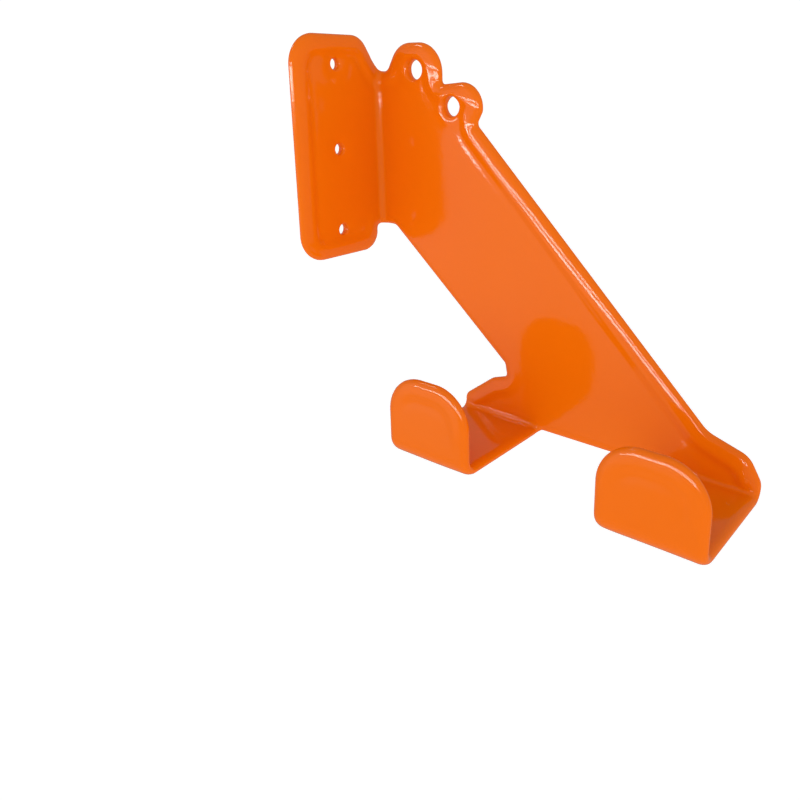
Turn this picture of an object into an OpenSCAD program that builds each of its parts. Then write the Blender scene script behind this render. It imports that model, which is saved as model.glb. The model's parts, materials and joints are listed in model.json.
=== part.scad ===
// Wall hanger bracket for a chainsaw and two screwdrivers.
// One flat steel blank is folded into a wall flange, an arm and two J hooks,
// and then dipped in soft plastic, which covers every surface and edge.
//
// Frame: the origin is the middle screw hole's axis, on the face that lies on
// the wall. +X runs right along the wall, +Y into the wall and +Z up.
// Inside the file the arm's middle plane is x = 0 and the flange's is y = 0.
// "out" is the distance from the flange's middle plane, away from the wall.

/* [Sheet] */
// Thickness of the bare steel sheet
steel_t = 3; // [2:0.5:4]
// Thickness of the dipped coating on each surface
coat_t = 1; // [0.5:0.1:1]

/* [Flange] */
// Height of the flange over the coating
flange_h = 110; // [108:1:130]
// Distance from the arm's middle plane to the flange's free edge
flange_w = 57.5; // [52:0.5:80]
// Radius of the flange's free corners
flange_r = 15; // [6:0.5:16]
// Middle radius of the bend between flange and arm
fold_r = 6; // [5:0.5:6.5]
// Distance between neighbouring screw holes
screw_pitch = 41; // [36:0.5:42]
// Distance from the arm's middle plane to the row of screw holes
screw_row = 30.5; // [24:0.5:34]
// Diameter of the coated screw holes
screw_d = 5; // [4:0.1:6.5]

/* [Arm] */
// Distance from the wall to the arm's far edge
reach = 216; // [212:1:222]
// Height of the notch's floor above the fold
notch_top = 37.7; // [36:0.1:39]
// Depth of the notch's floor below the fold
notch_low = 41.8; // [40:0.1:43]
// Diameter of the coated screwdriver holes
tool_d = 9.2; // [7:0.1:11]
// Radius of the lobe round the upper screwdriver hole
upper_lobe_r = 14.5; // [12:0.1:15]
// Radius of the lobe round the lower screwdriver hole
lower_lobe_r = 11.8; // [9:0.1:11.8]

/* [Hooks] */
// Width of each hook along the arm
hook_w = 47; // [44:0.5:48]
// Distance from the wall to the inner hook
hook_start = 58.5; // [57:0.5:60]
// Distance from the arm's middle plane to the hook tab's middle plane
hook_gap = 58.5; // [50:0.5:70]
// Level of the hook floor's middle plane below the screw row's middle
floor_depth = 136.5; // [136:0.5:139]
// Level of the tab's top below the screw row's middle
tab_top_depth = 97.5; // [90:0.5:105]
// Radius of the tab's top corners
tab_r = 19; // [10:0.5:20]
// Middle radius of the bend between arm and hook floor
foot_r = 5; // [4:0.5:6]
// Middle radius of the bend between hook floor and tab
curl_r = 6; // [6:0.5:12]

/* [Hidden] */
$fn = 64;

coat_half = steel_t / 2 + coat_t;
far = 400;
corner_steps = 7;
foot_level = -floor_depth + foot_r;
curl_level = -floor_depth + curl_r;
arm_bottom = -floor_depth + 0.3;
relief_w = 1.4;
relief_level = foot_level + 1.6;
// Where the flange's sloping shoulder starts and ends, beside the notch
shoulder_top = -12.1;
shoulder_foot = -3.4;
// The flange's lower edge beside the notch, and a place clear of the fold
flange_low_edge = -5.4;
past_fold = 20;
outer_hook_start = reach - hook_w;
hook_starts = [hook_start, outer_hook_start];
// Screwdriver hole centres, as [out, z], and how far out the lobe round each one reaches
tool_upper = [27.6, 38.3];
tool_lower = [51.2, 21];
upper_lobe_side = 44;
lower_lobe_side = 69;

function unit(v) = v / norm(v);
function out_normal(v) = [v[1], -v[0]];

// A corner is [x, y, radius] of the coated outline, listed anticlockwise.
// grow moves the whole outline outwards; a negative grow shrinks it.
function corner_arc(corners, i, grow) =
    let (
        n = len(corners),
        c = corners[i],
        here = [c[0], c[1]],
        last = [corners[(i + n - 1) % n][0], corners[(i + n - 1) % n][1]],
        next = [corners[(i + 1) % n][0], corners[(i + 1) % n][1]],
        a = unit(here - last),
        b = unit(next - here),
        na = out_normal(a),
        nb = out_normal(b),
        moved = here + (na + nb) * grow / (1 + na * nb),
        turn = atan2(a[0] * b[1] - a[1] * b[0], a * b),
        way = turn > 0 ? 1 : -1,
        r = c[2] > 0 ? max(c[2] + way * grow, 0) : 0,
        reach_back = r * tan(abs(turn) / 2),
        centre = moved - a * reach_back - na * r * way,
        from = atan2(way * na[1], way * na[0])
    )
    r > 0
        ? [for (k = [0:corner_steps])
            centre + r * [cos(from + turn * k / corner_steps), sin(from + turn * k / corner_steps)]]
        : [moved];

function outline(corners, grow) = [for (i = [0:len(corners) - 1]) each corner_arc(corners, i, grow)];

// The wall side, seen square to the wall: the flange, and the fold behind x = 0
function flange_corners() = [
    [-flange_w, -flange_h / 2, flange_r - 1],
    [flange_low_edge, -flange_h / 2, 11],
    [flange_low_edge, -notch_low, 2.5],
    [past_fold, -notch_low, 0],
    [past_fold, notch_top, 0],
    [shoulder_foot, notch_top, 2],
    [shoulder_top, flange_h / 2, 11],
    [-flange_w, flange_h / 2, flange_r]
];

function arm_corners() = [
    [0, -notch_low, 0],
    [10.6, -notch_low, 6],
    [84, -105.3, 2],
    [85.3, -112.3, 1.6],
    [76, -115.3, 9],
    [hook_start, -128.4, 4.5],
    [hook_start, -floor_depth - 10, 0],
    [hook_start + hook_w, -floor_depth - 10, 0],
    [hook_start + hook_w, relief_level, 0],
    [hook_start + hook_w + relief_w, relief_level, 0],
    [hook_start + hook_w + relief_w, arm_bottom, 1.5],
    [outer_hook_start - relief_w, arm_bottom, 1.5],
    [outer_hook_start - relief_w, relief_level, 0],
    [outer_hook_start, relief_level, 0],
    [outer_hook_start, -floor_depth - 10, 0],
    [reach, -floor_depth - 10, 0],
    [reach, -129, 8],
    [reach - 6, -118.6, 10],
    [reach - 25, -112.4, 14],
    [65.6, 13, 2.5],
    [lower_lobe_side, 19, 5],
    [lower_lobe_side, 33.6, lower_lobe_r],
    [upper_lobe_side, 31.3, 2],
    [upper_lobe_side, 51.3, upper_lobe_r],
    [16, 51.3, 13],
    [8, notch_top, 4.5],
    [0, notch_top, 0]
];

function tab_corners(start) = [
    [start, curl_level - 10, 0],
    [start + hook_w, curl_level - 10, 0],
    [start + hook_w, -tab_top_depth, tab_r],
    [start, -tab_top_depth, tab_r]
];

// A plate of an [x, z] outline, lying in the plane y = 0
module wall_plate(half) {
    translate([0, half, 0])
        rotate([90, 0, 0])
            linear_extrude(2 * half)
                children();
}

// A plate of an [out, z] outline, lying in the plane x = 0
module side_plate(half) {
    translate([half, 0, 0])
        rotate([90, 0, -90])
            linear_extrude(2 * half)
                children();
}

// A quarter of a bent strip, round the Z axis, from +X to +Y
module quarter_bend(radius, half, width) {
    rotate_extrude(angle = 90)
        translate([radius - half, 0])
            square([2 * half, width]);
}

module flange_and_fold(half, grow) {
    intersection() {
        union() {
            translate([-flange_w - far, -half, -flange_h])
                cube([flange_w + far - fold_r, 2 * half, 2 * flange_h]);
            translate([-fold_r, -fold_r, -flange_h])
                quarter_bend(fold_r, half, 2 * flange_h);
        }
        wall_plate(far)
            polygon(outline(flange_corners(), grow));
    }
}

// Everything below the start of each hook's bend, which the hook itself fills
module below_feet() {
    for (start = hook_starts)
        translate([-far / 2, -start - hook_w - relief_w / 2, foot_level - far])
            cube([far, hook_w + relief_w, far]);
}

module arm(half, grow) {
    difference() {
        side_plate(half)
            polygon(outline(arm_corners(), grow));
        below_feet();
        translate([-far / 2, -fold_r, -far / 2])
            cube(far);
    }
}

module hook(half, grow, start) {
    near = -start - hook_w - grow;
    width = hook_w + 2 * grow;
    translate([-foot_r, near + width, foot_level])
        rotate([90, 0, 0])
            mirror([0, 1, 0])
                quarter_bend(foot_r, half, width);
    translate([-hook_gap + curl_r, near, -floor_depth - half])
        cube([hook_gap - curl_r - foot_r, width, 2 * half]);
    translate([-hook_gap + curl_r, near + width, curl_level])
        rotate([90, 0, 0])
            rotate([0, 0, 180])
                quarter_bend(curl_r, half, width);
    translate([-hook_gap, 0, 0])
        intersection() {
            side_plate(half)
                polygon(outline(tab_corners(start), grow));
            translate([-far / 2, -far, curl_level])
                cube(far);
        }
}

module screw_holes(radius) {
    for (level = [-screw_pitch, 0, screw_pitch])
        translate([-screw_row, 0, level])
            rotate([90, 0, 0])
                cylinder(h = 20, r = radius, center = true);
}

module tool_holes(radius) {
    for (place = [tool_upper, tool_lower])
        translate([0, -place[0], place[1]])
            rotate([0, 90, 0])
                cylinder(h = 20, r = radius, center = true);
}

// The whole folded shape. grow is 0 for the coated outline.
module folded(grow) {
    half = coat_half + grow;
    difference() {
        union() {
            flange_and_fold(half, grow);
            arm(half, grow);
            for (start = hook_starts)
                hook(half, grow, start);
        }
        screw_holes(screw_d / 2 - grow);
        tool_holes(tool_d / 2 - grow);
    }
}

module in_frame() {
    translate([screw_row, -coat_half, 0])
        children();
}

module steel_blank() {
    color("slategray")
        in_frame()
            folded(-coat_t);
}

module dip_coating() {
    color("darkorange")
        in_frame()
            difference() {
                folded(0);
                folded(-coat_t);
            }
}

steel_blank();
dip_coating();
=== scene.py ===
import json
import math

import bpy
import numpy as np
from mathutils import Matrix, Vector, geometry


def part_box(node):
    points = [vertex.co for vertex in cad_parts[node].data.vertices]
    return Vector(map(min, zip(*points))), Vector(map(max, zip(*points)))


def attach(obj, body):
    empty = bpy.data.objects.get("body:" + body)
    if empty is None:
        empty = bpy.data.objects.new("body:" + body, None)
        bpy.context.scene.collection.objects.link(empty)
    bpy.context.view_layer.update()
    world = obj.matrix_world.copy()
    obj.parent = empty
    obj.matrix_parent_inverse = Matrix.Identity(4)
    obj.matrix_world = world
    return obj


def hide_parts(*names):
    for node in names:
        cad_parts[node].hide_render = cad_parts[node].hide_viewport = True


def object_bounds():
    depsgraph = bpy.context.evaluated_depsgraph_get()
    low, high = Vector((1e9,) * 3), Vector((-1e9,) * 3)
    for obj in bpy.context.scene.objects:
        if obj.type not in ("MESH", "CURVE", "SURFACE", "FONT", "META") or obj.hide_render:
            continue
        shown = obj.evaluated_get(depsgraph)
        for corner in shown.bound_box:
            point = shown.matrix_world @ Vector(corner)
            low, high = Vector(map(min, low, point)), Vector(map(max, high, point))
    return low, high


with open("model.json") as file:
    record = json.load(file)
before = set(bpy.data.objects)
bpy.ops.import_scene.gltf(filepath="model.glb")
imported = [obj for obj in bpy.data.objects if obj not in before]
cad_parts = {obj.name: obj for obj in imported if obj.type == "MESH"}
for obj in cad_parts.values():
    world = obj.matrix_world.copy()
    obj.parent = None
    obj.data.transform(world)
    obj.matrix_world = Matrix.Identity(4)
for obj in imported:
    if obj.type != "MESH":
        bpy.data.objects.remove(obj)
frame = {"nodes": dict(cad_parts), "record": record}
cad_low, cad_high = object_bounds()

# A wall hanger bracket for a chainsaw and two screwdrivers: a folded steel blank under one
# thick, glossy dipped coating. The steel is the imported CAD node. The coating is built here,
# first as a flat pattern and then folded round the same bends as the steel.
#
# Lengths are millimetres until a mesh is made. In the flat pattern "out" runs along the arm
# away from the wall and "up" is height; past the wall bend, "out" carries on along the wall,
# and below the arm, "up" carries on round the hooks.

MM = 0.001

# ---------------------------------------------------------------- sizes of the folded sheet

HALF = 2.5  # half the coated sheet's thickness
FOLD_R = 6.0  # middle radius of the bend between wall flange and arm
FOOT_R = 5.0  # middle radius of the bend between arm and hook floor
CURL_R = 6.0  # middle radius of the bend between hook floor and tab
QUARTER = math.pi / 2
FOLD_L = FOLD_R * QUARTER
FOOT_L = FOOT_R * QUARTER
CURL_L = CURL_R * QUARTER

box_low, box_high = (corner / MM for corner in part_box("dip_coating"))
ARM_X = box_high.x - HALF
WALL_Y = box_high.y - HALF
FLOOR_Z = box_low.z + HALF
TAB_X = box_low.x + HALF
REACH = WALL_Y - box_low.y
FLANGE_TOP = box_high.z
FOOT_Z = FLOOR_Z + FOOT_R
CURL_Z = FLOOR_Z + CURL_R
FLOOR_L = (ARM_X - FOOT_R) - (TAB_X + CURL_R)

HOOK_W = 47.0
HOOKS = (58.5, REACH - HOOK_W)  # where each hook starts, out from the wall
TAB_TOP = -97.5
TAB_R = 19  # radius of a tab's corners
NOTCH_TOP = 37.7  # the two notches that end the fold, above and below
NOTCH_LOW = -41.8
ARM_LOW = -136.2  # the arm's lower edge between the hooks
FLANGE_W = 57.5  # from the arm's middle plane to the flange's free edge
LOW_NOTCH_W = 4.9  # from the same plane to the flange's edge beside the lower notch
SHOULDER_W = 12.1  # and to the top of the slope beside the upper notch
EDGE_BLEND = 3.0  # how far a hook's bend fades out along the arm's lower edge

mounts = {mount["name"]: mount for mount in frame["record"]["mounts"]}


def flat_place(name):
    """A hole's centre in the flat pattern, and its radius."""
    x, y, z = (value / MM for value in mounts[name]["pos_m"])
    on_arm = abs(mounts[name]["axis"][0]) > 0.5
    out = WALL_Y - y if on_arm else x - ARM_X + 2 * FOLD_R - FOLD_L
    return out, z, mounts[name]["dims"]["r_mm"]


TOOL_RIM = 1.5  # how far from a hole's edge its round reaches
SCREW_RIM = 1.2

# Each hole is (out, up, radius, rim)
TOOL_HOLES = [(*flat_place(name), TOOL_RIM) for name in mounts if name.startswith("tool_eyelet")]
SCREW_HOLES = [(*flat_place(name), SCREW_RIM) for name in mounts if name.startswith("wall_screw")]


def wall_out(from_arm):
    """Where a place on the flange, this far to the side of the arm, is in the flat pattern."""
    return -from_arm + 2 * FOLD_R - FOLD_L


def below_arm(tab_z):
    """Where a height on a tab is in the flat pattern."""
    return FOOT_Z - FOOT_L - FLOOR_L - CURL_L - (tab_z - CURL_Z)


def pattern():
    """The coated blank's outline as (out, up, corner radius), anticlockwise."""
    near, far = HOOKS
    tab = below_arm(TAB_TOP)
    return [
        # the flange's lower edge and the lower notch
        (wall_out(FLANGE_W), -FLANGE_TOP, 14),
        (wall_out(LOW_NOTCH_W), -FLANGE_TOP, 10),
        (wall_out(LOW_NOTCH_W), NOTCH_LOW, 3),
        (10.6, NOTCH_LOW, 6),
        # the arm's lower edge down to the shoulder of the inner hook
        (84, -105.3, 2.5),
        (85.3, -112.3, 2.5),
        (76, -115.3, 9),
        (near, -128.4, 4.5),
        # the inner hook, the arm's edge between the hooks, and the outer hook
        (near, tab, TAB_R),
        (near + HOOK_W, tab, TAB_R),
        (near + HOOK_W, ARM_LOW, 2.5),
        (far, ARM_LOW, 2.5),
        (far, tab, TAB_R),
        (REACH, tab, TAB_R),
        # the shoulder of the outer hook and the arm's long upper edge
        (REACH, -129, 8),
        (REACH - 6, -118.6, 10),
        (REACH - 25, -112.4, 14),
        (65.6, 13, 2.5),
        # the lobes round the two screwdriver holes
        (69, 19, 5),
        (69, 33.6, 11.8),
        (44, 31.3, 2),
        (44, 51.3, 14.5),
        (16, 51.3, 13),
        # the upper notch and the flange's upper edge
        (8, NOTCH_TOP, 4.5),
        (2.3, NOTCH_TOP, 4),
        (wall_out(SHOULDER_W), FLANGE_TOP, 11),
        (wall_out(FLANGE_W), FLANGE_TOP, 15),
    ]


# ---------------------------------------------------------------- folding

def folded(flat, height):
    """Points of the flat pattern, each lifted by its height over the middle surface, folded."""
    out, up = flat[:, 0], flat[:, 1]
    zero = np.zeros_like(out)

    turn = np.clip((FOLD_R - out) / FOLD_R, 0, QUARTER)
    along = np.minimum(out - (FOLD_R - FOLD_L), 0)
    reach = np.maximum(out, FOLD_R)
    middle = np.stack([-FOLD_R + FOLD_R * np.cos(turn) + along,
                       FOLD_R - FOLD_R * np.sin(turn) + reach - FOLD_R, up], 1)
    front = np.stack([-np.cos(turn), np.sin(turn), zero], 1)
    plain = middle + front * height[:, None]

    down = np.maximum(FOOT_Z - up, 0)
    foot = np.minimum(down, FOOT_L) / FOOT_R
    floor = np.clip(down - FOOT_L, 0, FLOOR_L)
    curl = np.clip(down - FOOT_L - FLOOR_L, 0, CURL_L) / CURL_R
    rise = np.maximum(down - FOOT_L - FLOOR_L - CURL_L, 0)
    across = -FOOT_R * (1 - np.cos(foot)) - floor - CURL_R * np.sin(curl)
    level = FOOT_Z - FOOT_R * np.sin(foot) + CURL_R * (1 - np.cos(curl)) + rise
    lean = foot + curl
    hook_front = np.stack([-np.cos(lean), zero, np.sin(lean)], 1)
    hook = np.stack([across, out, level], 1) + hook_front * height[:, None]

    share = sum(hook_share(out, start) for start in HOOKS)
    share = np.where(down > 0, share, 0)[:, None]
    placed = plain * (1 - share) + hook * share
    return placed * [1, -1, 1] + [ARM_X, WALL_Y, 0]


def hook_share(out, start):
    """1 across a hook, fading to 0 beside it."""
    beside = np.maximum(np.maximum(start - out, out - start - HOOK_W), 0)
    return smooth_step(1 - beside / EDGE_BLEND, 0, 1)


def smooth_step(value, start, end):
    """0 up to the start, 1 from the end, and an even rise between them."""
    ramp = np.clip((value - start) / (end - start), 0, 1)
    return ramp * ramp * (3 - 2 * ramp)


# ---------------------------------------------------------------- outline loops

LOOP_STEP = 0.95  # greatest spacing along the outline
ARC_STEP = math.radians(8)  # greatest turn from one point of a corner to the next


def corner_frames(corners, inset):
    """Each rounded corner of the outline, moved inwards: centre, radius, first angle, turn."""
    points = np.array([corner[:2] for corner in corners], float)
    ways = np.roll(points, -1, 0) - points
    ways /= np.linalg.norm(ways, axis=1)[:, None]
    frames = []
    for i, corner in enumerate(corners):
        before, after = ways[i - 1], ways[i]
        turn = math.atan2(before[0] * after[1] - before[1] * after[0], before @ after)
        side = math.copysign(1, turn)
        normal_before = np.array([before[1], -before[0]])
        normal_after = np.array([after[1], -after[0]])
        shift = (normal_before + normal_after) / (1 + normal_before @ normal_after)
        radius = corner[2] - side * inset
        tip = points[i] - inset * shift
        centre = tip - before * radius * math.tan(abs(turn) / 2) - normal_before * radius * side
        start = math.atan2(side * normal_before[1], side * normal_before[0])
        frames.append((centre, radius, start, turn))
    return frames


def arc_point(corner_frame, share):
    """The point this share of the way round a rounded corner."""
    centre, radius, start, turn = corner_frame
    angle = start + turn * share
    return centre + radius * np.array([math.cos(angle), math.sin(angle)])


def loop_counts(corners):
    """How many steps each corner's arc and each straight edge after it takes."""
    frames = corner_frames(corners, 0)
    counts = []
    for i, corner_frame in enumerate(frames):
        turn = abs(corner_frame[3])
        arc = max(math.ceil(corner_frame[1] * turn / LOOP_STEP), math.ceil(turn / ARC_STEP), 2)
        gap = arc_point(frames[(i + 1) % len(frames)], 0) - arc_point(corner_frame, 1)
        counts.append((arc, max(math.ceil(np.linalg.norm(gap) / LOOP_STEP), 1)))
    return counts


def outline_loop(corners, inset, counts):
    """The outline moved inwards, with the same number of points at any inset."""
    frames = corner_frames(corners, inset)
    points = []
    for i, (arc, edge) in enumerate(counts):
        points += [arc_point(frames[i], k / arc) for k in range(arc)]
        start = arc_point(frames[i], 1)
        end = arc_point(frames[(i + 1) % len(frames)], 0)
        points += [start + (end - start) * k / edge for k in range(edge)]
    return np.array(points)


def hole_loop(hole, grow, count):
    """A hole's edge, moved outwards from its centre, clockwise."""
    angles = -2 * math.pi * np.arange(count) / count
    radius = hole[2] + grow
    return np.stack([hole[0] + radius * np.cos(angles), hole[1] + radius * np.sin(angles)], 1)


# ---------------------------------------------------------------- thickness of the coating

RIM = 4.1  # how far in from an edge its round reaches
RIM_STEPS = 14
PROBE = 2.4  # how widely the distance to the edge is smoothed
BEAD = 0.8  # the fat edge that a dipped coat dries with: height, place and width
BEAD_AT = 6.5
BEAD_W = 2.0
BEAD_FACES = (0.55, 0.83)  # out and up: the way that an edge with a full bead faces
BEAD_STARTS = -0.3  # how far an edge has to face that way before it has any bead
BEAD_FULL = 0.5  # and for all of it
TAB_PLAIN = 9.0  # how far up a tab the bead stays away
BACK_BEAD = 0.4  # the bead's share on the back, which lies on the wall
GROOVE = 0.35  # the shallow dip beside the bead
GROOVE_AT = 10.0
GROOVE_W = 1.7
TOOL_RING = 0.25  # the swollen ring round a screwdriver hole
TOOL_RING_AT = 3.0
TOOL_RING_W = 1.6
SCREW_DIMPLE = 0.45  # the sunken ring round a screw hole
SCREW_DIMPLE_W = 3.0
WAVE = 0.12  # the slow unevenness of the coat
WAVE_STARTS, WAVE_FULL = 1, 9  # how far in from an edge it starts and is full
SWELL_OUT, SWELL_UP = 15, 13  # how far apart the slow swells are, as lengths per radian
DRIFT_OUT, DRIFT_UP = 29, 23  # and how slowly they drift sideways, in the same measure
DRIFT_BY_OUT, DRIFT_BY_UP = 0.8, 0.6
RIPPLE = 0.4  # a finer slanting ripple: height, slant, length per radian and start
RIPPLE_SLANT = 0.4
RIPPLE_LENGTH = 6.5
RIPPLE_START = 1.2
LEAST = 1e-12  # keeps logarithms and divisions off zero


def bead_shares(edge):
    """How much of the bead each point of the outline has, from the way the edge faces."""
    way = np.roll(edge, -1, 0) - np.roll(edge, 1, 0)
    way /= np.linalg.norm(way, axis=1)[:, None]
    down = FOOT_Z - edge[:, 1]
    on_tab = down > FOOT_L + FLOOR_L + CURL_L
    up = np.where(on_tab, way[:, 0], -way[:, 0])
    rises = BEAD_FACES[0] * way[:, 1] + BEAD_FACES[1] * up
    share = smooth_step(rises, BEAD_STARTS, BEAD_FULL)
    share[(down > 0) & (down < FOOT_L + FLOOR_L + CURL_L + TAB_PLAIN)] = 0
    share[edge[:, 0] < FOLD_R - FOLD_L] = 1
    return share


def edge_distance(flat, edge):
    """Distance from the outline for points of the pattern, smoothed so that it has no creases,
    and the share of the bead there."""
    steps = np.linalg.norm(np.roll(edge, -1, 0) - edge, axis=1)
    shares = bead_shares(edge)
    total, beaded = np.zeros(len(flat)), np.zeros(len(flat))
    for first in range(0, len(flat), BATCH):
        gap = ((flat[first:first + BATCH, None] - edge[None]) ** 2).sum(2)
        weight = np.exp(-gap / (2 * PROBE ** 2)) * steps
        total[first:first + BATCH] = weight.sum(1)
        beaded[first:first + BATCH] = (weight * shares).sum(1)
    level = np.clip(total / (math.sqrt(2 * math.pi) * PROBE), LEAST, 1)
    return PROBE * np.sqrt(-2 * np.log(level)), beaded / np.maximum(total, LEAST)


def hill(value, middle, width):
    """1 at the middle, falling smoothly to 0 on both sides."""
    return np.exp(-((value - middle) / width) ** 2 / 2)


def hole_gap(flat, hole):
    """Distance from a hole's edge for points of the pattern."""
    return np.hypot(flat[:, 0] - hole[0], flat[:, 1] - hole[1]) - hole[2]


def waves(flat):
    """The slow unevenness that a dipped coat dries with, as a height of about 1 either way."""
    out, up = flat[:, 0], flat[:, 1]
    swell_out = np.sin(out / SWELL_OUT + DRIFT_BY_UP * np.sin(up / DRIFT_UP))
    swell_up = np.sin(up / SWELL_UP + DRIFT_BY_OUT * np.sin(out / DRIFT_OUT))
    ripple = np.sin((out - RIPPLE_SLANT * up) / RIPPLE_LENGTH + RIPPLE_START)
    return swell_out * swell_up + RIPPLE * ripple


def thickness(flat, edge, is_front):
    """Height of the coating's surface over the sheet's middle, away from the rounded rims."""
    inward, bead = edge_distance(flat, edge)
    height = HALF + WAVE * waves(flat) * smooth_step(inward, WAVE_STARTS, WAVE_FULL)
    height += bead * (BEAD if is_front else BEAD * BACK_BEAD) * hill(inward, BEAD_AT, BEAD_W)
    height -= bead * GROOVE * hill(inward, GROOVE_AT, GROOVE_W)
    for hole in TOOL_HOLES:
        height += TOOL_RING * hill(hole_gap(flat, hole), TOOL_RING_AT, TOOL_RING_W)
    if is_front:
        for hole in SCREW_HOLES:
            height -= SCREW_DIMPLE * hill(hole_gap(flat, hole), 0, SCREW_DIMPLE_W)
    return height


# ---------------------------------------------------------------- the coating's mesh

GRID = 1.15  # spacing of the points between the rims
GRID_CLEAR = 0.7  # how clear of a rim's points they stay, as a share of that spacing
BATCH = 2000  # how many points are measured against a loop at once
SAME_PLACE = 1e-6  # points closer than this are one point


def rim_loops(loop_at, rim, edge):
    """Loops from the front face over the rounded edge to the back face."""
    loops = []
    for k in range(RIM_STEPS + 1):
        turn = math.pi * k / RIM_STEPS
        flat = loop_at(rim * (1 - math.sin(turn)))
        height = math.cos(turn) * thickness(flat, edge, turn < QUARTER)
        loops.append((flat, height))
    return loops


def inner_grid(loops):
    """Evenly spaced points inside the first loop that are clear of it and of the holes' loops."""
    low, high = loops[0].min(0), loops[0].max(0)
    columns = np.arange(low[0], high[0], GRID)
    rows = np.arange(low[1], high[1], GRID)
    points = np.stack(np.meshgrid(columns, rows), -1).reshape(-1, 2)
    points = points[between(points, loops)]
    for loop in loops:
        near = np.full(len(points), np.inf)
        for first in range(0, len(points), BATCH):
            gap = ((points[first:first + BATCH, None] - loop[None]) ** 2).sum(2)
            near[first:first + BATCH] = gap.min(1)
        points = points[near > (GRID_CLEAR * GRID) ** 2]
    return points


def between(points, loops):
    """Whether each point is inside the first loop and outside the others."""
    found = inside(points, loops[0])
    for loop in loops[1:]:
        found &= ~inside(points, loop)
    return found


def inside(points, loop):
    """Whether each point is inside a closed loop, by counting crossings."""
    found = np.zeros(len(points), bool)
    x, y = points[:, 0], points[:, 1]
    for a, b in zip(loop, np.roll(loop, -1, 0)):
        if a[1] == b[1]:
            continue
        crosses = (a[1] > y) != (b[1] > y)
        found ^= crosses & (x < a[0] + (y - a[1]) * (b[0] - a[0]) / (b[1] - a[1]))
    return found


def coating_mesh():
    """Points and faces of the whole coat: its rims, its front and its back."""
    corners = pattern()
    counts = loop_counts(corners)
    edge = outline_loop(corners, 0, counts)
    rims = [rim_loops(lambda inset: outline_loop(corners, inset, counts), RIM, edge)]
    for hole in TOOL_HOLES + SCREW_HOLES:
        count = math.ceil(2 * math.pi * (hole[2] + hole[3]) / LOOP_STEP)
        rims.append(rim_loops(lambda grow: hole_loop(hole, grow, count), hole[3], edge))

    points, faces, first = [], [], 0
    front_loops, back_loops = [], []
    for loops in rims:
        count = len(loops[0][0])
        for k, (flat, height) in enumerate(loops):
            points.append(folded(flat, height))
            if k:
                faces += band(first + (k - 1) * count, first + k * count, count)
        front_loops.append(np.arange(first, first + count))
        back_loops.append(np.arange(first, first + count) + RIM_STEPS * count)
        first += len(loops) * count

    flat_loops = [loops[0][0] for loops in rims]
    grid = inner_grid(flat_loops)
    triangles = triangulate(flat_loops, grid)
    for is_front, loop_ids in ((True, front_loops), (False, back_loops)):
        sign = 1 if is_front else -1
        points.append(folded(grid, sign * thickness(grid, edge, is_front)))
        ids = np.concatenate(loop_ids + [np.arange(first, first + len(grid))])
        first += len(grid)
        faces += [tuple(ids[list(t if is_front else t[::-1])]) for t in triangles]
    return np.concatenate(points), faces


def band(upper, lower, count):
    """Quads between two loops of the same length."""
    return [(upper + i, lower + i, lower + (i + 1) % count, upper + (i + 1) % count)
            for i in range(count)]


def triangulate(loops, grid):
    """Triangles between the outline's loop and the holes' loops, as indices."""
    flat = np.concatenate(loops + [grid])
    edges, first = [], 0
    for loop in loops:
        ids = range(first, first + len(loop))
        edges += [(i, first + (i - first + 1) % len(loop)) for i in ids]
        first += len(loop)
    made = geometry.delaunay_2d_cdt([Vector(p) for p in flat], edges, [], 1, SAME_PLACE, True)
    places = np.array([tuple(v) for v in made[0]])
    source = np.array([origin[0] for origin in made[3]])
    middles = np.array([places[list(face)].mean(0) for face in made[2]])
    kept = between(middles, loops)
    triangles = []
    for face, keep in zip(made[2], kept):
        if keep:
            a, b, c = (places[i] for i in face)
            area = (b[0] - a[0]) * (c[1] - a[1]) - (b[1] - a[1]) * (c[0] - a[0])
            ids = [int(source[i]) for i in face]
            triangles.append(ids if area > 0 else ids[::-1])
    return triangles


def mesh_piece(name, points, faces):
    """A smooth-shaded object of points in millimetres."""
    mesh = bpy.data.meshes.new(name)
    mesh.from_pydata((points * MM).tolist(), [], faces)
    mesh.validate()
    mesh.shade_smooth()
    piece = bpy.data.objects.new(name, mesh)
    bpy.context.scene.collection.objects.link(piece)
    return piece


# ---------------------------------------------------------------- materials

COATING_TINTS = (0.87, 0.150, 0.001), (0.91, 0.164, 0.001)
COATING_ROUGHNESS = 0.07, 0.12  # lowest and highest roughness
COATING_PEEL = 0.00004  # height of the orange peel, in metres
COATING_IOR = 1.5
COATING_SHINE = 0.3  # specular level, under the usual 0.5, which keeps the colour deep

STEEL_TINTS = (0.40, 0.41, 0.43), (0.50, 0.51, 0.53)
STEEL_ROUGHNESS = 0.30, 0.48
STEEL_GRAIN = 0.00001  # height of the grain, in metres

FLOOR_TINTS = (0.965, 0.965, 0.965), (0.975, 0.975, 0.975)
FLOOR_GLOW = 0.42  # a little light of its own, so that it is as white as the backdrop
FLOOR_ROUGHNESS = 0.9


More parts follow.
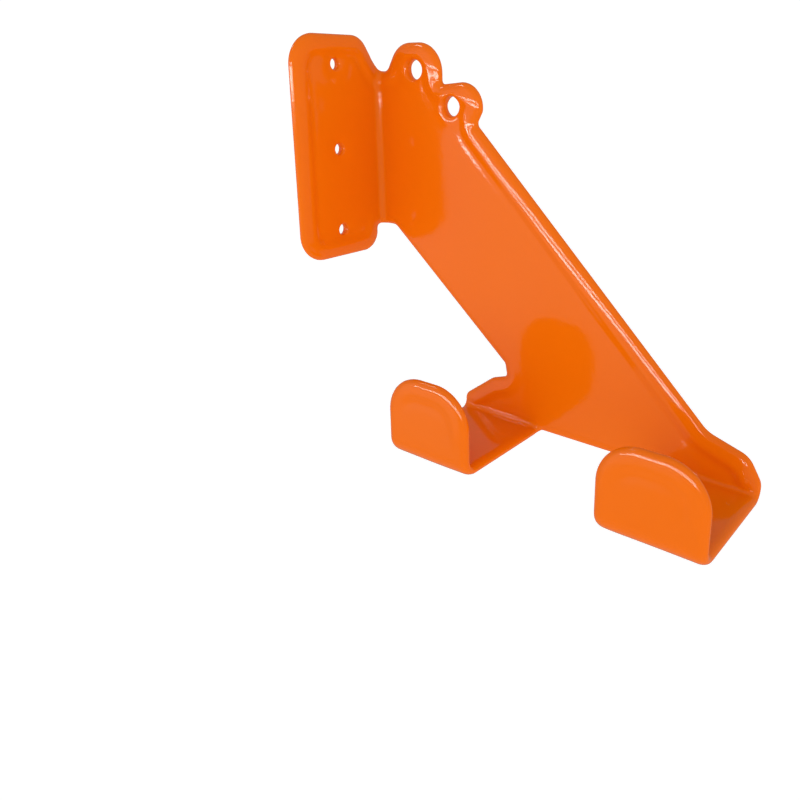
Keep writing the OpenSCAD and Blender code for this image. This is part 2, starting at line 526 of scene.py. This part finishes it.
class Nodes:
    """A material's node tree with short ways to add and join nodes."""

    def __init__(self, name):
        self.material = bpy.data.materials.new(name)
        self.material.use_nodes = True
        self.tree = self.material.node_tree
        self.shader = self.tree.nodes["Principled BSDF"]

    def add(self, kind, **inputs):
        node = self.tree.nodes.new(kind)
        for socket, value in inputs.items():
            node.inputs[socket.replace("_", " ")].default_value = value
        return node

    def join(self, source, target):
        self.tree.links.new(source, target)

    def noise(self, scale, detail):
        """Noise in the object's own metres; scale is its waves per metre."""
        place = self.add("ShaderNodeTexCoord")
        node = self.add("ShaderNodeTexNoise", Scale=scale, Detail=detail)
        self.join(place.outputs["Object"], node.inputs["Vector"])
        return node.outputs["Fac"]

    def tint(self, value, tints):
        """The base colour, from the first tint to the second as a value goes from 0 to 1."""
        node = self.tree.nodes.new("ShaderNodeMix")
        node.data_type = "RGBA"
        node.inputs["A"].default_value = (*tints[0], 1)
        node.inputs["B"].default_value = (*tints[1], 1)
        self.join(value, node.inputs["Factor"])
        self.join(node.outputs["Result"], self.shader.inputs["Base Color"])

    def roughness(self, value, ends):
        """The roughness, from one end to the other as a value goes from 0 to 1."""
        node = self.add("ShaderNodeMapRange", To_Min=ends[0], To_Max=ends[1])
        self.join(value, node.inputs["Value"])
        self.join(node.outputs["Result"], self.shader.inputs["Roughness"])

    def bump(self, value, distance):
        """Fine relief of the surface, this high in metres."""
        node = self.add("ShaderNodeBump", Strength=1.0, Distance=distance)
        self.join(value, node.inputs["Height"])
        self.join(node.outputs["Normal"], self.shader.inputs["Normal"])


def coating_material():
    """Thick glossy soft vinyl with a slight orange peel and uneven depth of colour."""
    made = Nodes("orange_dip_coating")
    made.tint(made.noise(26, 3), COATING_TINTS)
    made.roughness(made.noise(140, 4), COATING_ROUGHNESS)
    made.bump(made.noise(330, 2), COATING_PEEL)
    made.shader.inputs["IOR"].default_value = COATING_IOR
    made.shader.inputs["Specular IOR Level"].default_value = COATING_SHINE
    return made.material


def steel_material():
    """Cold-rolled steel with an uneven grain; it lies wholly under the coating."""
    made = Nodes("rolled_steel")
    made.tint(made.noise(60, 4), STEEL_TINTS)
    made.roughness(made.noise(220, 4), STEEL_ROUGHNESS)
    made.bump(made.noise(900, 3), STEEL_GRAIN)
    made.shader.inputs["Metallic"].default_value = 1.0
    return made.material


def floor_material():
    """Near-white matt paper that shows no shine."""
    made = Nodes("pale_floor")
    made.tint(made.noise(3, 3), FLOOR_TINTS)
    made.shader.inputs["Emission Color"].default_value = (1, 1, 1, 1)
    made.shader.inputs["Emission Strength"].default_value = FLOOR_GLOW
    made.shader.inputs["Roughness"].default_value = FLOOR_ROUGHNESS
    made.shader.inputs["Specular IOR Level"].default_value = 0.0
    return made.material


# ---------------------------------------------------------------- pieces

def make_coating():
    """The coat, which stands in for the CAD's coating."""
    points, faces = coating_mesh()
    piece = mesh_piece("orange_dip_coating", points, faces)
    piece.data.materials.append(coating_material())
    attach(piece, "root")
    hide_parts("dip_coating")


def dress_steel():
    """The steel is the CAD's own node with a material put on it."""
    steel = frame["nodes"]["steel_blank"]
    steel.data.materials.clear()
    steel.data.materials.append(steel_material())


# ---------------------------------------------------------------- stage, light and camera

FLOOR_DROP = 0.25  # the bracket hangs on a wall, so the floor is well below it
FLOOR_SIZE = 60.0

# The studio has three strengths: one for the backdrop that the camera sees, one that lights the
# surfaces softly and one that shows in the gloss. The last two change towards one side, over a
# range of the cosine of the angle to it.
BACKDROP_LIGHT = 1.05
ROOM_LIGHT = 1.16
DIM_SIDE = (0.55, 0.40, 0.73)
DIM_SIDE_COSINES = (-0.1, 0.8)
DIM_SIDE_LIGHT = 0.35
ROOM_GLOSS = 0.32
BRIGHT_SIDE = (-0.82, 0.55, 0.06)
BRIGHT_SIDE_COSINES = (0.80, 0.98)
BRIGHT_SIDE_GLOSS = 0.95

# Name, place from the bracket's middle, width and height in metres, and radiance
PANELS = (
    ("left_low_panel", (-1.1, 0.08, 0.075), (1.7, 0.07), 22),
    ("left_high_panel", (-1.1, -0.05, 0.24), (1.4, 0.05), 21),
    ("back_panel", (-0.45, 0.65, 0.80), (0.30, 0.08), 13),
)

CAMERA_PLACE = (-0.2687, -0.2979, 0.0356)
CAMERA_YAW = 0.6513  # radians from +X towards +Y
CAMERA_PITCH = 0.2908  # radians below level
CAMERA_ROLL = -0.0015
CAMERA_LENS = 34.39
CAMERA_SHIFT = (-0.100, -0.120)
CAMERA_NEAR = 0.01


def make_floor():
    """A flat floor, which the gloss doesn't show."""
    level = cad_low.z - FLOOR_DROP
    side = FLOOR_SIZE / 2
    corners = np.array([(-side, -side, level), (side, -side, level),
                        (side, side, level), (-side, side, level)]) / MM
    floor = mesh_piece("floor", corners, [(0, 1, 2, 3)])
    floor.data.materials.append(floor_material())
    floor.visible_glossy = False


def make_camera():
    """The camera, by where it stands, the way it looks and how it is rolled about that way."""
    ahead = Vector((math.cos(CAMERA_YAW) * math.cos(CAMERA_PITCH),
                    math.sin(CAMERA_YAW) * math.cos(CAMERA_PITCH), -math.sin(CAMERA_PITCH)))
    right = Vector((math.sin(CAMERA_YAW), -math.cos(CAMERA_YAW), 0))
    turned = Matrix.Rotation(-CAMERA_ROLL, 3, ahead)
    right = turned @ right
    top = right.cross(ahead)
    camera = bpy.data.objects.new("camera", bpy.data.cameras.new("camera"))
    camera.matrix_world = Matrix.Translation(CAMERA_PLACE) @ Matrix(
        (right, top, -ahead)).transposed().to_4x4()
    camera.data.lens = CAMERA_LENS
    camera.data.shift_x, camera.data.shift_y = CAMERA_SHIFT
    camera.data.clip_start = CAMERA_NEAR
    bpy.context.scene.collection.objects.link(camera)
    bpy.context.scene.camera = camera


def softbox(name, place, size, radiance):
    """A panel light that faces the bracket and shows only in its gloss."""
    light = bpy.data.lights.new(name, "AREA")
    light.shape = "RECTANGLE"
    light.size, light.size_y = size
    light.energy = radiance * math.pi * size[0] * size[1]
    lamp = bpy.data.objects.new(name, light)
    middle = (cad_low + cad_high) / 2
    lamp.location = middle + Vector(place)
    lamp.rotation_euler = (-Vector(place)).to_track_quat("-Z", "Y").to_euler()
    lamp.visible_camera = False
    lamp.visible_diffuse = False
    bpy.context.scene.collection.objects.link(lamp)


def make_world():
    """A white backdrop for the camera, a soft light that is dimmer from behind and above on the
    right, and a darker room with one bright side for the gloss."""
    world = bpy.data.worlds.new("studio")
    world.use_nodes = True
    tree = world.node_tree
    place = tree.nodes.new("ShaderNodeTexCoord").outputs["Generated"]
    path = tree.nodes.new("ShaderNodeLightPath")
    soft = directed_light(tree, place, DIM_SIDE, DIM_SIDE_COSINES, (ROOM_LIGHT, DIM_SIDE_LIGHT))
    gloss = directed_light(tree, place, BRIGHT_SIDE, BRIGHT_SIDE_COSINES,
                           (ROOM_GLOSS, BRIGHT_SIDE_GLOSS))
    unseen = choose(tree, path.outputs["Is Glossy Ray"], soft)
    tree.links.new(gloss, unseen.inputs["B"])
    strength = choose(tree, path.outputs["Is Camera Ray"], unseen.outputs["Result"])
    strength.inputs["B"].default_value = BACKDROP_LIGHT
    tree.links.new(strength.outputs["Result"], tree.nodes["Background"].inputs["Strength"])
    tree.nodes["Background"].inputs["Color"].default_value = (1, 1, 1, 1)
    bpy.context.scene.world = world


def directed_light(tree, place, towards, cosines, strengths):
    """A light strength that changes smoothly from one side of the studio to another."""
    facing = tree.nodes.new("ShaderNodeVectorMath")
    facing.operation = "DOT_PRODUCT"
    facing.inputs[1].default_value = Vector(towards).normalized()
    shade = tree.nodes.new("ShaderNodeMapRange")
    shade.interpolation_type = "SMOOTHSTEP"
    shade.inputs["From Min"].default_value, shade.inputs["From Max"].default_value = cosines
    shade.inputs["To Min"].default_value, shade.inputs["To Max"].default_value = strengths
    tree.links.new(place, facing.inputs[0])
    tree.links.new(facing.outputs["Value"], shade.inputs["Value"])
    return shade.outputs["Result"]


def choose(tree, is_of_kind, otherwise):
    """A node whose B input is for rays of one kind, with this value for all others."""
    mix = tree.nodes.new("ShaderNodeMix")
    tree.links.new(is_of_kind, mix.inputs["Factor"])
    tree.links.new(otherwise, mix.inputs["A"])
    return mix


def make_lights():
    for panel in PANELS:
        softbox(*panel)
    make_world()
    bpy.context.scene.view_settings.view_transform = "Standard"


make_coating()
dress_steel()
make_floor()
make_lights()
make_camera()
